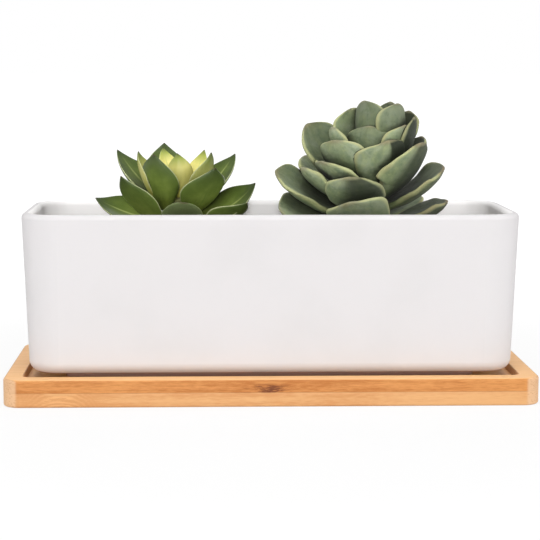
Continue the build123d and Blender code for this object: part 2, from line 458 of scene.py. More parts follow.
powderyLeaf = {
    "plant": "right",
    "body": "right_plant",
    "slot": "powdery_leaf",
    "leaves": 31,
    "seed": 19,
    "thickness": 0.0050,
    "widen": 1.13,
    "curl": radians(38),
    "twist": radians(9),
    "sway": radians(8),
    "wave": 0.0020,
    "waveSize": 0.015,
    "hearts": 6,
    "heartLength": 0.019,
    "heartWidth": 0.0115,
    "heartLean": 0.55,
    "heartYouth": 0.8,
    "outline": [
        (0.00, 0.30), (0.12, 0.42), (0.28, 0.62), (0.44, 0.82), (0.58, 0.95), (0.70, 1.00),
        (0.80, 0.97), (0.88, 0.83), (0.94, 0.58), (0.975, 0.30), (1.00, 0.04),
    ],
    "flesh": [(0.00, 1.00), (0.35, 1.00), (0.65, 0.85), (0.88, 0.62), (1.00, 0.22)],
    "edge": 0.44,
}


def profileAt(profile, share):
    places = [p for p, _ in profile]
    values = [v for _, v in profile]
    return float(np.interp(share, places, values))


def smoothProfile(profile, share):
    # average of the profile a little to each side, so that rows follow a curve
    reach = 0.045
    picks = [min(max(share + reach * k, 0.0), 1.0) for k in (-1, 0, 1)]
    average = sum(profileAt(profile, p) for p in picks) / len(picks)
    blend = min(min(share, 1.0 - share) / reach, 1.0)  # none at the ends
    return (1 - blend) * profileAt(profile, share) + blend * average


def modelLeaf(look, across=12, along=26):
    name = look["plant"] + "MasterLeaf"
    bpy.ops.object.select_all(action="DESELECT")
    bpy.ops.mesh.primitive_grid_add(
        x_subdivisions=across, y_subdivisions=along, size=1.0,
        location=(0, 0, 0.5), rotation=(pi / 2, 0, 0),
    )
    leaf = bpy.context.object
    leaf.name = name
    bpy.ops.object.transform_apply(location=True, rotation=True, scale=True)

    # outline, row by row
    bpy.ops.object.mode_set(mode="EDIT")
    bpy.ops.mesh.select_mode(type="VERT")
    for row in range(along + 1):
        share = row / along
        bpy.ops.mesh.select_all(action="DESELECT")
        bpy.ops.object.mode_set(mode="OBJECT")
        for vertex in leaf.data.vertices:
            vertex.select = abs(vertex.co.z - share) < 0.25 / along
        bpy.ops.object.mode_set(mode="EDIT")
        wide = smoothProfile(look["outline"], share)
        bpy.ops.transform.resize(value=(wide, 1, 1), center_override=(0, 0, share))
    bpy.ops.object.mode_set(mode="OBJECT")

    # flesh: thick along the middle, thin at the margin
    fleshGroup = leaf.vertex_groups.new(name="flesh")
    points = pointsOf(leaf.data)
    for vertex, (x, _, share) in zip(leaf.data.vertices, points):
        half = smoothProfile(look["outline"], share) / 2
        out = min(abs(x) / max(half, 1e-6), 1.0)
        flesh = look["edge"] + (1 - look["edge"]) * sqrt(1 - out**2)
        fleshGroup.add([vertex.index], flesh * profileAt(look["flesh"], share), "REPLACE")
    addModifier(
        leaf, "SOLIDIFY", thickness=flatThickness, offset=0.5,
        vertex_group="flesh", thickness_vertex_group=0.02,
    )
    addModifier(leaf, "SUBSURF", levels=1, render_levels=1)

    # where each point is on the leaf: across, along and inner face
    points = pointsOf(leaf.data)
    normals = normalsOf(leaf.data)
    halves = np.array([smoothProfile(look["outline"], min(max(z, 0), 1)) / 2 for z in points[:, 2]])
    leafPlace = np.stack(
        [
            np.clip(points[:, 0] / np.maximum(halves, 1e-4), -1, 1),
            np.clip(points[:, 2], 0, 1),
            np.clip(0.5 + normals[:, 1], 0, 1),
        ],
        axis=1,
    )
    writeAttribute(leaf.data, "leafPlace", leafPlace)
    margin = leaf.vertex_groups.new(name="margin")
    for index, (out, share, _) in enumerate(leafPlace):
        margin.add([index], float(abs(out) ** 2 * min(share * 2.2, 1.0)), "REPLACE")
    bpy.ops.object.shade_smooth()
    return leaf


def readLeaf(name, stemFoot, stemTop):
    # root, tip, width and depth of a CAD leaf
    points = pointsOf(nodes[name].data)
    share = (points[:, 2] - stemFoot.z) / (stemTop.z - stemFoot.z)
    axis = np.outer(1 - share, stemFoot) + np.outer(share, stemTop)
    gap = np.linalg.norm((points - axis)[:, :2], axis=1)
    root = points[gap <= np.quantile(gap, 0.02)].mean(axis=0)
    tip = points[np.argmax(np.linalg.norm(points - root, axis=1))]
    chord = tip - root
    length = np.linalg.norm(chord)
    ahead = chord / length
    level = np.cross(ahead, (0, 0, 1))
    level /= np.linalg.norm(level)
    up = np.cross(level, ahead)
    along = (points - root) @ ahead / length
    belly = points[(along > 0.35) & (along < 0.8)] - root
    turns = np.radians(np.arange(-60, 61, 2))
    spans = [np.ptp(belly @ (cos(t) * level + sin(t) * up)) for t in turns]
    turn = turns[int(np.argmax(spans))]
    side = -cos(turn) * level - sin(turn) * up
    inner = np.cross(ahead, side)
    return {
        "root": Vector(root),
        "tip": Vector(tip),
        "side": Vector(side),
        "width": max(spans),
        "depth": np.ptp(belly @ inner),
    }


def aimLeaf(spot, tweak):
    # the tweak's own shifts are in millimetres and its angles in degrees
    spot["root"] += Vector(tweak.get("root", (0, 0, 0))) / 1000
    spot["tip"] += Vector(tweak.get("tip", (0, 0, 0))) / 1000
    chord = spot["tip"] - spot["root"]
    spot["length"] = chord.length
    spot["ahead"] = chord.normalized()
    side = spot["side"] - spot["side"].project(spot["ahead"])
    side.normalize()
    side.rotate(Quaternion(spot["ahead"], radians(tweak.get("roll", 0))))
    spot["side"] = side
    spot["inner"] = spot["ahead"].cross(side)
    spot["width"] *= tweak.get("wider", 1.0)
    for name in ("cup", "curl"):
        if name in tweak:
            spot[name] = radians(tweak[name])


def bluntLeaf(leaf, look, share):
    # outline part of the way to a plain ellipse, from the belly to the tip
    belly = 0.4
    points = pointsOf(leaf.data)
    for point in points:
        along = min(max(point[2], 0.0), 1.0)
        if along > belly:
            ellipse = sqrt(max(1 - ((along - belly) / (1 - belly)) ** 2, 0.0004))
            point[0] *= 1 + share * (ellipse / smoothProfile(look["outline"], along) - 1)
    leaf.data.vertices.foreach_set("co", points.astype(np.float32).ravel())


def setLeaf(leaf, look, spot, chance, waveAnchor):
    # cup and curl a flat copy, then carry it to its place
    curl, cup = spot["curl"], spot["cup"]
    arc = spot["length"] * (curl / 2) / sin(curl / 2)
    wide = spot["width"] * look["widen"] * (cup / 2) / sin(cup / 2)
    thick = look["thickness"] * spot["flesh"] / flatThickness
    leaf.data.transform(Matrix.Diagonal((wide, thick, arc, 1)))
    waveAnchor.location = (chance.uniform(-1, 1), chance.uniform(-1, 1), chance.uniform(-1, 1))
    bpy.context.view_layer.update()
    wave = bpy.data.textures["leafWave"]
    wave.noise_scale = look["waveSize"]
    addModifier(
        leaf, "DISPLACE", texture=wave, texture_coords="OBJECT", texture_coords_object=waveAnchor,
        direction="Y", mid_level=0.5, strength=look["wave"] * 2, vertex_group="margin",
    )
    addModifier(leaf, "SIMPLE_DEFORM", deform_method="BEND", deform_axis="Z", angle=cup)
    addModifier(
        leaf, "SIMPLE_DEFORM", deform_method="TWIST", deform_axis="Z",
        angle=chance.uniform(-1, 1) * look["twist"],
    )
    addModifier(
        leaf, "SIMPLE_DEFORM", deform_method="BEND", deform_axis="Y",
        angle=chance.uniform(-1, 1) * look["sway"] + 0.001,
    )
    addModifier(leaf, "SIMPLE_DEFORM", deform_method="BEND", deform_axis="X", angle=curl)
    # after the curl the chord leans by half of it towards the inner face
    points = pointsOf(leaf.data)
    tip = Vector(points[np.argmax(points[:, 2] * cos(curl / 2) + points[:, 1] * sin(curl / 2))])
    lean = atan2(tip.y, tip.z)
    scale = spot["length"] / tip.length
    turn = Matrix.Rotation(lean, 4, "X")
    frameTurn = Matrix((spot["side"], spot["inner"], spot["ahead"])).transposed().to_4x4()
    move = Matrix.Translation(spot["root"]) @ frameTurn @ turn @ Matrix.Scale(scale, 4)
    leaf.data.transform(move)


def stemOf(plant):
    points = pointsOf(nodes[plant + "_stem"].data)
    low, high = points[:, 2].min(), points[:, 2].max()
    foot = points[points[:, 2] < low + 1e-5].mean(axis=0)
    top = points[points[:, 2] > high - 1e-5].mean(axis=0)
    return Vector(foot), Vector(top)


def leafTone(leaf, youth, chance, blush):
    count = len(leaf.data.vertices)
    writeAttribute(leaf.data, "leafTone", np.tile((youth, chance, blush), (count, 1)))


def shadeLeaf(leaf, amount, start, end):
    # painted shade from one place across the leaf to another, counted from -1 to 1
    flat = np.empty(len(leaf.data.vertices) * 3, np.float32)
    leaf.data.attributes["leafPlace"].data.foreach_get("vector", flat)
    share = np.clip((flat[0::3] - start) / (end - start), 0, 1)
    writeAttribute(leaf.data, "rubbed", amount * share * share * (3 - 2 * share))


def creviceShadeOf(paint):
    # painted shade: near 1 where the leaves round about hide the sky
    return paint.attribute("openness").step(0.88, 0.20) * 0.94


glossyTones = {
    "green": [  # from root to tip
        (0.0, (0.30, 0.34, 0.052)), (0.35, (0.21, 0.285, 0.05)),
        (0.75, (0.095, 0.142, 0.027)), (1.0, (0.042, 0.064, 0.018)),
    ],
    "blotch": (0.29, 0.37, 0.085),
    "line": (0.08, 0.135, 0.024),
    # painted shade towards each leaf's sides
    "side": (0.06, 0.095, 0.022),
    "yellow": [
        (0.0, (0.58, 0.50, 0.09)), (0.35, (0.86, 0.74, 0.24)), (0.70, (0.95, 0.86, 0.29)),
        (0.88, (0.42, 0.48, 0.09)), (1.0, (0.09, 0.13, 0.03)),
    ],
    "yellowBlotch": (0.50, 0.52, 0.09),
    "rib": (0.50, 0.58, 0.18),
    # pale edge, partly the leaf's own colour and partly a painted highlight
    "margin": (0.58, 0.61, 0.34),
    # painted reflection on the lowest front leaf
    "greyReflection": (0.21, 0.265, 0.115),
    "creviceShade": (0.018, 0.024, 0.006),
    "point": (0.07, 0.045, 0.02),
    "roughness": 0.34,
    "shine": 0.28,
    "coat": 0.06,
    "coatRoughness": 0.25,
    "skinDepth": 0.00012,
}


def glossyPaint():
    paint = Paint("glossyLeaf")
    tones = glossyTones
    out, along, inner = paint.attributeParts("leafPlace")
    youth, chance, blush = paint.attributeParts("leafTone")
    place = paint.place()
    blotch = paint.noise(place, 130.0, 3.0, 0.6)
    lengthways = paint.noise(paint.join(out * 9.0 + chance * 20.0, along * 1.2, chance * 9.0), 1.0, 2.0)
    skin = paint.noise(place, 900.0, 2.0)

    # grown leaves are green, young ones yellow
    green = paint.ramp(tones["green"], along)
    green = paint.mix(blotch.step(0.38, 0.72) * along.step(1.0, 0.45) * 0.4, green, tones["blotch"])
    green = paint.mix(lengthways.step(0.5, 0.8) * 0.35, green, tones["line"])
    # painted shade: each leaf darker towards its sides, which leaves a painted highlight down the middle
    green = paint.mix(abs(out).step(0.35, 0.95) * 0.45, green, tones["side"])
    yellow = paint.ramp(tones["yellow"], along)
    yellow = paint.mix(blotch.step(0.4, 0.8) * 0.25, yellow, tones["yellowBlotch"])
    tone = paint.mix(youth, green, yellow)

    # painted highlight along the rib on the inner face, pale margin, dark point
    rib = abs(out).step(0.09, 0.0) * inner.step(0.4, 0.8) * along.step(0.95, 0.6)
    tone = paint.mix(rib * 0.7, tone, tones["rib"])
    # the pale margin is partly the leaf's own pale edge and partly a painted highlight along it
    margin = abs(out).step(0.94, 0.99) * along.step(0.05, 0.25) * along.step(1.0, 0.85)
    tone = paint.mix(margin * 0.75, tone, tones["margin"])
    # painted reflection: a grey sheen over the lowest front leaf
    tone = paint.mix(blush * 0.75, tone, tones["greyReflection"])
    tone = paint.mix(creviceShadeOf(paint) * (1.0 - youth * 0.9), tone, tones["creviceShade"])
    tone = paint.mix(along.step(0.965, 1.0) * 0.8, tone, tones["point"])
    paint.set(baseColor=tone, roughness=tones["roughness"] + blotch * 0.10, coatWeight=tones["coat"])
    paint.hold("Specular IOR Level", tones["shine"])
    paint.hold("Coat Roughness", tones["coatRoughness"])
    paint.bump(skin * 0.4 + lengthways, tones["skinDepth"])
    return paint.material


powderyTones = {
    "green": [  # from root to tip
        (0.0, (0.225, 0.29, 0.09)), (0.4, (0.235, 0.30, 0.145)),
        (0.85, (0.26, 0.32, 0.182)), (1.0, (0.285, 0.305, 0.16)),
    ],
    "young": (0.34, 0.42, 0.22),
    "bloom": (0.37, 0.42, 0.30),
    "thinBloom": (0.13, 0.18, 0.075),
    "darkLine": (0.16, 0.21, 0.10),
    "paleLine": (0.38, 0.43, 0.28),
    "palePucker": (0.40, 0.45, 0.22),
    "darkPucker": (0.12, 0.185, 0.115),
    "speckle": (0.42, 0.44, 0.34),
    # pale edge, partly the leaf's own colour and partly a painted highlight on the rounded rim
    "margin": (0.54, 0.56, 0.27),
    "redMargin": (0.28, 0.18, 0.09),
    "point": (0.23, 0.14, 0.09),
    # painted shade on leaves that lie in shadow
    "rubbed": (0.020, 0.026, 0.016),
    "creviceShade": (0.018, 0.022, 0.010),
    "roughness": 0.62,
    "shine": 0.22,
    "sheen": 0.05,
    "sheenRoughness": 0.5,
    "skinDepth": 0.00032,
}


def powderyPaint():
    paint = Paint("powderyLeaf")
    tones = powderyTones
    out, along, _ = paint.attributeParts("leafPlace")
    youth, chance, blush = paint.attributeParts("leafTone")
    place = paint.place()
    bloom = paint.noise(place, 95.0, 4.0, 0.6)
    speckle = paint.noise(place, 700.0, 3.0, 0.7)
    pucker = paint.noise(place, 300.0, 2.0, 0.6)
    lengthways = paint.noise(paint.join(out * 4.0 + chance * 20.0, along * 1.3, chance * 9.0), 1.0, 2.0)

    # grey-green under an uneven bloom
    tone = paint.ramp(tones["green"], along)
    tone = paint.mix(youth * 0.25, tone, tones["young"])
    tone = paint.mix(bloom.step(0.42, 0.72) * 0.6, tone, tones["bloom"])
    tone = paint.mix(bloom.step(0.45, 0.25) * 0.5, tone, tones["thinBloom"])
    tone = paint.mix(lengthways.step(0.5, 0.75) * 0.4, tone, tones["darkLine"])
    tone = paint.mix(lengthways.step(0.48, 0.28) * 0.35, tone, tones["paleLine"])
    tone = paint.mix(pucker.step(0.52, 0.72) * 0.35, tone, tones["palePucker"])
    tone = paint.mix(pucker.step(0.48, 0.30) * 0.35, tone, tones["darkPucker"])
    tone = paint.mix(speckle.step(0.55, 0.8) * 0.3, tone, tones["speckle"])

    # pale margin that reddens in the sun, red point, painted shade inside the rim
    # the pale margin is partly the leaf's own pale edge and partly a painted highlight on the rounded rim
    margin = abs(out).step(0.84, 0.98) * along.step(0.1, 0.4)
    tone = paint.mix(margin * 0.7, tone, tones["margin"])
    red = margin * (0.25 + blush) * bloom.step(0.35, 0.6)
    tone = paint.mix(red * 0.5, tone, tones["redMargin"])
    point = along.step(0.93, 0.995)
    tone = paint.mix(point * (0.35 + blush * 0.5), tone, tones["point"])
    rim = margin.most(along.step(0.95, 0.985))
    # painted shade on the leaves that lie in shadow, less of it on the rim
    tone = paint.mix(paint.attribute("rubbed") * (1.0 - rim * 0.7), tone, tones["rubbed"])
    tone = paint.mix(creviceShadeOf(paint), tone, tones["creviceShade"])
    paint.set(baseColor=tone, roughness=tones["roughness"] + bloom * 0.12)
    paint.hold("Specular IOR Level", tones["shine"])
    paint.hold("Sheen Weight", tones["sheen"])
    paint.hold("Sheen Roughness", tones["sheenRoughness"])
    paint.bump(speckle * 0.35 + pucker * 0.8 + bloom * 1.6, tones["skinDepth"])
    return paint.material


# how open each point of a rosette lies to the sky, from rays sent out all round it, for the painted shade
# in the crevices
openness = {"rays": 14, "reach": 0.022, "lift": 0.0004, "goldenAngle": 2.39996}


def raysRound(count):
    # spread over a half sphere by the golden angle
    turns = np.arange(count) * openness["goldenAngle"]
    flat = np.sqrt((np.arange(count) + 0.5) / count)
    return np.stack([flat * np.cos(turns), flat * np.sin(turns), np.sqrt(1 - flat**2)], axis=1)


def measureOpenness(blades, soilHeight):
    reach = openness["reach"]
    points = [pointsOf(blade.data) for blade in blades]
    starts = np.cumsum([0] + [len(p) for p in points])
    faces = []
    for start, blade in zip(starts, blades):
        faces += [[start + v for v in face.vertices] for face in blade.data.polygons]
    tree = BVHTree.FromPolygons([Vector(p) for p in np.concatenate(points)], faces)
    rays = raysRound(openness["rays"])
    for blade, spots in zip(blades, points):
        up = normalsOf(blade.data)
        side = np.cross(up, np.where(abs(up[:, 2:]) < 0.9, (0.0, 0.0, 1.0), (1.0, 0.0, 0.0)))
        side /= np.linalg.norm(side, axis=1, keepdims=True)
        ways = np.einsum("ri,ivk->vrk", rays, np.stack([side, np.cross(up, side), up]))
        sky = np.zeros(len(spots))
        for index, spot in enumerate(spots + up * openness["lift"]):
            origin = Vector(spot)
            for way in ways[index]:
                gap = tree.ray_cast(origin, Vector(way), reach)[3]
                soilGap = (spot[2] - soilHeight) / -way[2] if way[2] < -1e-6 else reach
                gap = min(reach if gap is None else gap, max(soilGap * 2, 0.0))
                sky[index] += gap / reach
        writeAttribute(blade.data, "openness", sky / len(rays))


def growRosette(look, paint, youthOf, blushOf, tweaks):
    plant = look["plant"]
    master = modelLeaf(look)
    foot, top = stemOf(plant)
    chance = Random(look["seed"])
    waveAnchor = bpy.data.objects["waveAnchor"]
    blades = []
    for number in range(1, look["leaves"] + 1):
        node = f"{plant}_leaf_{number:02d}"
        tweak = tweaks.get(number, {})
        spot = readLeaf(node, foot, top)
        spot["flesh"] = 0.75 + 0.35 * min(spot["width"] / leafForm["fullWidth"], 1.0)
        cup = 4 * atan(spot["depth"] * leafForm["cupShare"] / (spot["width"] / 2))
        spot["cup"] = min(max(cup, leafForm["cupLeast"]), leafForm["cupMost"])
        spot["curl"] = look["curl"]
        aimLeaf(spot, tweak)
        leaf = copyOf(master, f"{plant}_blade_{number:02d}")
        bluntLeaf(leaf, look, tweak.get("blunt", 0.0))
        setLeaf(leaf, look, spot, chance, waveAnchor)
        leafTone(leaf, tweak.get("youth", youthOf(number)), chance.random(), blushOf(number, spot))
        shadeLeaf(leaf, tweak.get("rubbed", 0.0), *tweak.get("paintedShadeFrom", (-2.0, -1.0)))
        leaf.data.materials.append(paint)
        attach(leaf, look["body"])
        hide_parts(node)
        blades.append(leaf)

    # the youngest leaves, closed over the stem's top
    for number in range(1, look["hearts"] + 1):
        share = number / look["hearts"]
        turn = number * leafForm["heartTurn"]
        lean = look["heartLean"] * (1.1 - share)
        outward = Vector((cos(turn), sin(turn), 0))
        ahead = outward * sin(lean) + Vector((0, 0, cos(lean)))
        root = top + outward * leafForm["heartOut"] - Vector((0, 0, leafForm["heartSunk"]))
        spot = {
            "root": root,
            "tip": root + ahead * look["heartLength"] * (1.15 - 0.4 * share),
            "side": Vector((0, 0, 1)).cross(ahead),
            "width": look["heartWidth"],
            "flesh": leafForm["heartFlesh"],
            "cup": leafForm["heartCup"],
            "curl": leafForm["heartCurl"],
        }
        aimLeaf(spot, {})
        leaf = copyOf(master, f"{plant}_heart_{number}")
        setLeaf(leaf, look, spot, chance, waveAnchor)
        leafTone(leaf, look["heartYouth"], chance.random(), 0.0)
        leaf.data.materials.append(paint)
        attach(leaf, look["body"])
        blades.append(leaf)
    measureOpenness(blades, foot.z)
    bpy.data.objects.remove(master)
    print(plant, "rosette grown")


bpy.data.textures.new("leafWave", "CLOUDS").noise_depth = 1
bpy.context.collection.objects.link(bpy.data.objects.new("waveAnchor", None))


def glossyYouth(number):
    return {17: 0.93, 18: 0.70, 19: 1.0}.get(number, 0.0)


def reflectionShare(number, spot):
    # painted reflection: the lowest front leaf gets a grey sheen painted on
    return 1.0 if number == 1 else 0.0


def powderyYouth(number):
    return min(max((number - 18) / 13, 0.0), 1.0)


def sunBlush(number, spot):
    # redder on the right hand side, where the sun reaches
    return min(max(spot["ahead"].x * 0.7, 0.0), 1.0)


# How single leaves differ from their CAD solids, by leaf number. Root and tip are shifted in millimetres,
# and roll, cup and curl are in degrees. Blunt rounds the tip. Youth over 1 makes a powdery leaf paler, as
# painted light on a leaf that lies in shade.
# A shade tweak paints shade onto a leaf, and the tweak that goes with it says where across the leaf, from
# -1 to 1, that starts and is full.
glossyTweaks = {
    1: {"tip": (0.6, 0, 1.4), "curl": 20, "cup": 40, "wider": 0.95, "blunt": 1.1},
    2: {"tip": (0, 0, 0.8), "roll": -24, "wider": 1.35},
    3: {"roll": -6, "wider": 1.3, "root": (9, 0, 0), "tip": (0.4, 0, 0.8)},
    7: {"roll": 38, "wider": 1.5, "root": (0, 0, -2), "tip": (0, 0, 0.8), "curl": 60},
    8: {"root": (-6, 0, -3), "tip": (0.3, 0, 1.6), "wider": 0.82},
    10: {"root": (3.4, 0, 0), "tip": (-0.3, 0, 0.8)},
    11: {"wider": 1.15, "tip": (-1, 0, 1)},
    12: {"tip": (0, 0, 1), "wider": 1.2},
    13: {"root": (-6, 0, 0), "tip": (0.4, 0, 1), "wider": 0.9, "blunt": 0.15},
    14: {"tip": (-5.5, 0, 1), "root": (-4, 0, 0)},
    15: {"youth": 0.3, "wider": 1.2, "root": (2, 0, 0), "tip": (0.8, 0, 0.7)},
    16: {"wider": 1.5, "tip": (-1, -3, 0.8), "root": (-6, -6, 0), "youth": 0.5},
    17: {"tip": (-1.6, 0, 0)},
    18: {"wider": 0.72, "tip": (0, 0, 0.5)},
    19: {"tip": (-3.6, 0, 0)},
}
powderyTweaks = {
    1: {"tip": (-0.6, 0, 0.6), "rubbed": 0.7, "wider": 1.1},
    # leaf 2 lies in shade, and youth over 1 paints it paler as painted light
    2: {"tip": (-3, 0, -2.5), "wider": 1.5, "roll": -14, "youth": 2.5},
    3: {"tip": (-6.5, 0, -1.2), "root": (6, 0, 0), "roll": 6, "wider": 1.02, "rubbed": 0.25},
    7: {"tip": (-1, 0, 2), "wider": 1.3, "rubbed": 0.2},
    8: {"root": (0, 0, 2), "wider": 1.65, "rubbed": 0.5},
    9: {"root": (-1, 0, 0), "tip": (-3, 0, 1), "blunt": 0.7, "rubbed": 0.85, "paintedShadeFrom": (-0.6, 0.1)},
    13: {"tip": (-2, 0, 0.6), "wider": 1.3},
    14: {"root": (3, 0, 3), "wider": 1.1},
    15: {
        "root": (-2.5, 0, 0), "wider": 1.1, "blunt": 0.85,
        "rubbed": 0.8, "paintedShadeFrom": (-0.75, -0.25),
    },
    16: {"rubbed": 0.8},
    18: {"tip": (0, 0, 4), "wider": 1.2, "rubbed": 0.3},
    20: {
        "root": (-4, 0, 0), "tip": (-2, 0, 0), "wider": 1.1, "roll": 8,
        "rubbed": 0.95, "paintedShadeFrom": (-0.05, 0.1),
    },
    23: {"tip": (-4, 0, 0), "wider": 1.3, "rubbed": 0.95},
    24: {"wider": 1.25, "tip": (2.5, 0, 0), "rubbed": 0.85, "paintedShadeFrom": (-0.9, 0.1)},
    25: {"rubbed": 0.85},
    26: {"rubbed": 0.35},
    27: {"tip": (-2, 0, 0), "wider": 1.2},
    # leaf 28 lies in shade, and youth over 1 paints it paler as painted light
    28: {"tip": (-3, -2, 1), "roll": -25, "wider": 1.5, "youth": 3.0},
    29: {"wider": 1.4, "tip": (1, 0, 0), "rubbed": 0.4},
    30: {"rubbed": 0.7},
    31: {"tip": (-1.5, 0, 1.5), "wider": 1.2, "rubbed": 0.5},
}
growRosette(glossyLeaf, glossyPaint(), glossyYouth, reflectionShare, glossyTweaks)
growRosette(powderyLeaf, powderyPaint(), powderyYouth, sunBlush, powderyTweaks)

# Soil: the CAD solids remeshed and roughened inwards, with bark crumbs and perlite on top and roots round
# the root balls; grain tells the paint what a point is made of
soilLook = {
    "seed": 31,
    "clump": 0.010,
    "depth": 0.0022,
    "fine": 0.0030,
    "fineDepth": 0.0012,
    "grains": {"soil": 0.0, "bark": 0.33, "root": 0.66, "perlite": 1.0},
    "colours": [
        (0.0, (0.040, 0.026, 0.018)), (0.33, (0.115, 0.060, 0.032)), (0.66, (0.42, 0.32, 0.20)),
        (1.0, (0.72, 0.70, 0.65)),
    ],
    "fleck": (0.20, 0.13, 0.08),
    "damp": (0.012, 0.008, 0.006),
    "voxel": 0.0020,
    "ballVoxel": 0.0013,
    "crumb": 0.0016,
    "crumbs": 330,
    "ballCrumbs": 130,
    "ballScattered": 60,  # of them; the rest lie along the edge of the well
    "ballRing": (0.009, -0.002),  # scattered from here off the stem to here off the edge
    "ballEdge": (-0.0012, 0.0008),  # in and out from the edge
    "perliteShare": 0.22,
    "barkShare": 0.55,  # of what isn't perlite
    "above": 0.0007,
    "keepOff": 0.0012,
    "corner": 0.016,
    "roots": 16,
    "rootSteps": 24,
    "rootSunk": 0.0007,
    "ballTaper": 20 / 26,  # the foot of a root ball against its top
    "roughness": 0.82,
    "fleckDepth": 0.0006,
}


def soilPaint():
    paint = Paint("soil")
    grain = paint.attribute("grain")
    place = paint.place()
    fleck = paint.noise(place, 420.0, 4.0, 0.65)
    damp = paint.noise(place, 45.0, 2.0)
    tone = paint.ramp(soilLook["colours"], grain)
    tone = paint.mix(fleck.step(0.35, 0.7) * 0.6, tone, paint.mix(0.35, tone, soilLook["fleck"]))
    tone = paint.mix(damp.step(0.55, 0.35) * 0.5, tone, paint.mix(0.6, tone, soilLook["damp"]))
    paint.set(baseColor=tone, roughness=soilLook["roughness"] + fleck * 0.12)
    paint.bump(fleck, soilLook["fleckDepth"])
    return paint.material


def roughen(piece, size, depth):
    texture = bpy.data.textures["soilClumps"]
    texture.noise_scale = size
    addModifier(
        piece, "DISPLACE", texture=texture, texture_coords="LOCAL", mid_level=1.0, strength=depth
    )


def packSoil(node, name, voxel):
    piece = bpy.data.objects.new(name, nodes[node].data.copy())
    bpy.context.collection.objects.link(piece)
    piece.data.materials.clear()
    takeUp(piece)
    bpy.ops.object.mode_set(mode="EDIT")
    bpy.ops.mesh.select_all(action="SELECT")
    bpy.ops.mesh.remove_doubles(threshold=0.00001)
    bpy.ops.object.mode_set(mode="OBJECT")
    addModifier(piece, "REMESH", mode="VOXEL", voxel_size=voxel)
    roughen(piece, soilLook["clump"], soilLook["depth"])
    roughen(piece, soilLook["fine"], soilLook["fineDepth"])
    bpy.ops.object.shade_smooth()
    return piece


def modelCrumb():
    bpy.ops.object.select_all(action="DESELECT")
    bpy.ops.mesh.primitive_ico_sphere_add(subdivisions=2, radius=1.0)
    crumb = bpy.context.object
    crumb.name = "masterCrumb"
    texture = bpy.data.textures["soilClumps"]
    texture.noise_scale = 1.1
    addModifier(crumb, "DISPLACE", texture=texture, texture_coords="LOCAL", mid_level=0.5, strength=0.7)
    return crumb


def scatterCrumbs(crumb, spots, chance):
    made = []
    for spot, kind, size in spots:
        copy = copyOf(crumb, "crumb")
        flat = Matrix.Diagonal((1.0, chance.uniform(0.6, 1.0), chance.uniform(0.35, 0.7), 1.0))
        turn = Matrix.Rotation(chance.uniform(0, 2 * pi), 4, "Z")
        copy.data.transform(Matrix.Translation(spot) @ turn @ Matrix.Scale(size, 4) @ flat)
        writeAttribute(copy.data, "grain", np.full(len(copy.data.vertices), soilLook["grains"][kind]))
        made.append(copy)
    return made


def joinTo(piece, others):
    writeAttribute(piece.data, "grain", np.zeros(len(piece.data.vertices)))
    takeUp(piece)
    for other in others:
        other.select_set(True)
    bpy.ops.object.join()


def growRoots(low, high, chance):
    # fine roots winding down the side of a root ball, just under its surface
    middle = (low + high) / 2
    wide = (high.x - low.x) / 2
    narrow = wide * soilLook["ballTaper"]
    count, steps = soilLook["roots"], soilLook["rootSteps"]
    made = []
    for index in range(count):
        curve = bpy.data.curves.new("root", "CURVE")
        curve.dimensions = "3D"
        curve.bevel_depth = chance.uniform(0.0003, 0.0006)
        curve.bevel_resolution = 2
        curve.use_fill_caps = True
        line = curve.splines.new("POLY")
        turn = index * 2 * pi / count + chance.uniform(-0.2, 0.2)
        swing = chance.uniform(-0.9, 0.9)
        start, end = chance.uniform(0.02, 0.25), chance.uniform(0.7, 0.97)
        line.points.add(steps)
        for step in range(steps + 1):
            share = start + (end - start) * step / steps
            angle = turn + swing * share + 0.12 * sin(share * 19 + index)
            radius = wide + (narrow - wide) * share - soilLook["rootSunk"]
            x, y = middle.x + radius * cos(angle), middle.y + radius * sin(angle)
            line.points[step].co = (x, y, high.z + (low.z - high.z) * share, 1)
        root = bpy.data.objects.new("root", curve)
        bpy.context.collection.objects.link(root)
        takeUp(root)
        bpy.ops.object.convert(target="MESH")
        root = bpy.context.object
        writeAttribute(root.data, "grain", np.full(len(root.data.vertices), soilLook["grains"]["root"]))
        made.append(root)
    return made


def pickGrain(chance):
    if chance.random() < soilLook["perliteShare"]:
        return "perlite"
    return "bark" if chance.random() < soilLook["barkShare"] else "soil"


def packRootBall(plant, crumb, paint, chance):
    node = plant + "_root_ball"
    low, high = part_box(node)
    piece = packSoil(node, plant + "_root_soil", soilLook["ballVoxel"])
    foot, _ = stemOf(plant)
    wide = (high.x - low.x) / 2
    ring = (soilLook["ballRing"][0], wide + soilLook["ballRing"][1])
    edge = [wide + reach for reach in soilLook["ballEdge"]]
    spots = []
    for index in range(soilLook["ballCrumbs"]):
        inner, outer = ring if index < soilLook["ballScattered"] else edge
        turn, out = chance.uniform(0, 2 * pi), chance.uniform(inner, outer)
        size = chance.uniform(0.5, 1.0) * soilLook["crumb"]
        place = Vector((foot.x + out * cos(turn), foot.y + out * sin(turn), high.z - size * 0.3))
        spots.append((place, pickGrain(chance), size))
    joinTo(piece, scatterCrumbs(crumb, spots, chance) + growRoots(low, high, chance))
    piece.data.materials.append(paint)
    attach(piece, plant + "_plant")
    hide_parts(node)


def isClear(place, gap, high, balls):
    # inside the trough's rounded corners and off both root balls
    radius = soilLook["corner"]
    corner = Vector((max(abs(place.x) - high.x + radius, 0), max(abs(place.y) - high.y + radius, 0)))
    clear = corner.length < radius - gap
    for ballLow, ballHigh in balls:
        middle = (ballLow + ballHigh) / 2
        away = (place.xy - middle.xy).length
        clear = clear and away > (ballHigh.x - ballLow.x) / 2 + gap
    return clear


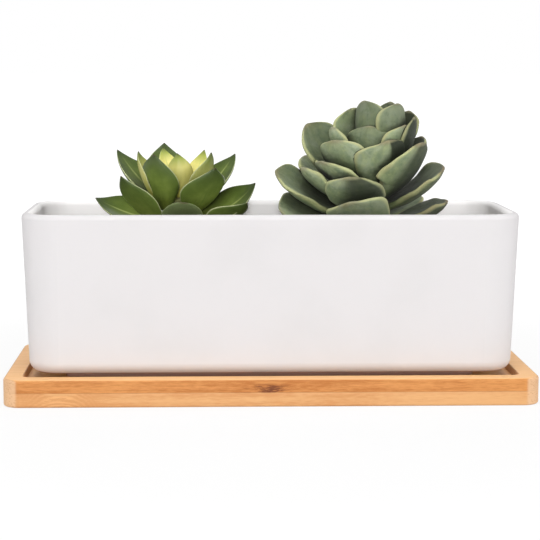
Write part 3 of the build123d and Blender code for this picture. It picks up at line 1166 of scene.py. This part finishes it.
def packTrough(crumb, paint, chance):
    balls = [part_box(plant + "_root_ball") for plant in ("left", "right")]
    low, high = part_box("potting_soil")
    piece = packSoil("potting_soil", "trough_soil", soilLook["voxel"])
    spots = []
    while len(spots) < soilLook["crumbs"]:
        size = chance.uniform(0.5, 1.3) * soilLook["crumb"]
        gap = size + soilLook["keepOff"]
        x = chance.uniform(low.x + gap, high.x - gap)
        y = chance.uniform(low.y + gap, high.y - gap)
        place = Vector((x, y, high.z + soilLook["above"] - size * 0.5))
        if isClear(place, gap, high, balls):
            spots.append((place, pickGrain(chance), size))
    joinTo(piece, scatterCrumbs(crumb, spots, chance))
    piece.data.materials.append(paint)
    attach(piece, "trough")
    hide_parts("potting_soil")


def fillWithSoil():
    chance = Random(soilLook["seed"])
    bpy.data.textures.new("soilClumps", "CLOUDS").noise_depth = 2
    crumb = modelCrumb()
    paint = soilPaint()
    for plant in ("left", "right"):
        packRootBall(plant, crumb, paint, chance)
    packTrough(crumb, paint, chance)
    bpy.data.objects.remove(crumb)
    print("trough filled")


fillWithSoil()

# Stems ringed with leaf scars, and the black net squares
stemLook = {
    "bark": (0.17, 0.15, 0.065),
    "young": (0.28, 0.30, 0.12),
    "scar": (0.09, 0.065, 0.03),
    "roughness": 0.62,
    "scarDepth": 0.0004,
}
netLook = {
    "black": (0.018, 0.018, 0.019),
    "worn": (0.045, 0.045, 0.046),
    "roughness": 0.45,
    "scuffDepth": 0.00008,
}


def stemPaint():
    paint = Paint("stemBark")
    place = paint.place()
    x, y, z = paint.split(place)
    ring = paint.noise(paint.join(x * 55.0, y * 55.0, z * 650.0), 1.0, 2.0)
    fleck = paint.noise(place, 500.0, 3.0, 0.6)
    tone = paint.mix(fleck, stemLook["bark"], stemLook["young"])
    scar = ring.step(0.54, 0.64)
    tone = paint.mix(scar * 0.75, tone, stemLook["scar"])
    paint.set(baseColor=tone, roughness=stemLook["roughness"] + fleck * 0.2)
    paint.bump(fleck * 0.3 - scar, stemLook["scarDepth"])
    return paint.material


def netPaint():
    paint = Paint("blackNet")
    place = paint.place()
    scuff = paint.noise(place, 700.0, 3.0, 0.6)
    paint.set(
        baseColor=paint.mix(scuff.step(0.5, 0.75) * 0.6, netLook["black"], netLook["worn"]),
        roughness=netLook["roughness"] + scuff * 0.25,
    )
    paint.bump(scuff, netLook["scuffDepth"])
    return paint.material


stemBark = stemPaint()
for name, material in (("left_stem", stemBark), ("right_stem", stemBark), ("drain_screens", netPaint())):
    nodes[name].data.materials.clear()
    nodes[name].data.materials.append(material)
print("stems and net painted")

# White floor, which glows a little to the camera and keeps the shadow
sweep = {"half": 30.0, "white": (0.62, 0.62, 0.62), "glow": 1.12, "lift": 0.72, "near": 0.2, "far": 0.6}


def sweepPaint():
    paint = Paint("sweepWhite")
    tree = paint.tree
    paint.set(baseColor=sweep["white"])
    paint.hold("Roughness", 0.9)
    paint.hold("Specular IOR Level", 0.0)
    ray = tree.nodes.new("ShaderNodeLightPath")
    seen = Wire(paint, ray.outputs["Is Camera Ray"])
    for kind in ("Is Glossy Ray", "Is Transmission Ray"):
        seen = seen.most(Wire(paint, ray.outputs[kind]))
    glow = paint.node("Emission", None, {"Color": (1, 1, 1), "Strength": sweep["glow"]})
    x, y, _ = paint.split(paint.place())
    far = ((x * x + y * y) ** 0.5).step(sweep["near"], sweep["far"])
    lift = sweep["lift"] + far * (1.0 - sweep["lift"])
    mixed = paint.node("MixShader", None, {0: seen * lift, 2: glow})
    tree.links.new(paint.shader.outputs[0], mixed.socket.node.inputs[1])
    tree.links.new(mixed.socket, tree.nodes["Material Output"].inputs["Surface"])
    return paint.material


bpy.ops.object.select_all(action="DESELECT")
bpy.ops.mesh.primitive_plane_add(size=2 * sweep["half"], location=(0, 0, 0))
floor = bpy.context.object
floor.name = "sweep"
floor.data.materials.append(sweepPaint())

# Light: a white room that the camera sees as pure white, and soft lamps above, at both sides, in front
# and behind
room = {"light": 0.36, "seen": 1.0}
lampAim = Vector((0, 0, 0.07))
lamps = {
    "keyLamp": {"place": (-0.1, -1.1, 2.6), "size": 1.4, "power": 29.0},
    "leftLamp": {"place": (-2.3, -1.0, 0.9), "size": 1.2, "power": 20.0},
    "rightLamp": {"place": (2.3, -1.0, 0.9), "size": 1.2, "power": 25.0},
    "frontLamp": {"place": (-0.1, -2.5, 0.42), "size": 0.24, "power": 22.0},
    "backLamp": {"place": (0.0, 2.1, 1.8), "size": 1.6, "power": 16.0},
}
world = bpy.data.worlds.new("studio")
bpy.context.scene.world = world
world.use_nodes = True
worldNodes = world.node_tree.nodes
background = worldNodes["Background"]
background.inputs["Color"].default_value = (1, 1, 1, 1)
sight = worldNodes.new("ShaderNodeMapRange")
sight.inputs["To Min"].default_value = room["light"]
sight.inputs["To Max"].default_value = room["seen"]
rays = worldNodes.new("ShaderNodeLightPath")
world.node_tree.links.new(rays.outputs["Is Camera Ray"], sight.inputs["Value"])
world.node_tree.links.new(sight.outputs["Result"], background.inputs["Strength"])


def addLamp(name, place, size, power):
    lamp = bpy.data.lights.new(name, "AREA")
    lamp.size = size
    lamp.energy = power
    holder = bpy.data.objects.new(name, lamp)
    holder.location = place
    holder.rotation_euler = (lampAim - Vector(place)).to_track_quat("-Z", "Y").to_euler()
    bpy.context.collection.objects.link(holder)


for name, lamp in lamps.items():
    addLamp(name, **lamp)

# Camera, fitted to the photograph
view = {
    "place": (-0.0332, -0.8911, 0.1758),
    "yaw": radians(2.16),
    "pitch": radians(7.118),
    "roll": radians(0.129),
    "lens": 109.2,
    "sensor": 36.0,
}
lens = bpy.data.cameras.new("camera")
lens.lens = view["lens"]
lens.sensor_width = view["sensor"]
lens.clip_start = 0.05
lens.clip_end = 50.0
camera = bpy.data.objects.new("camera", lens)
camera.matrix_world = (
    Matrix.Translation(view["place"])
    @ Matrix.Rotation(-view["yaw"], 4, "Z")
    @ Matrix.Rotation(pi / 2 - view["pitch"], 4, "X")
    @ Matrix.Rotation(view["roll"], 4, "Z")
)
bpy.context.collection.objects.link(camera)
bpy.context.scene.camera = camera
bpy.context.scene.view_settings.view_transform = "Standard"
bpy.data.objects.remove(bpy.data.objects["waveAnchor"])

print("scene ready")
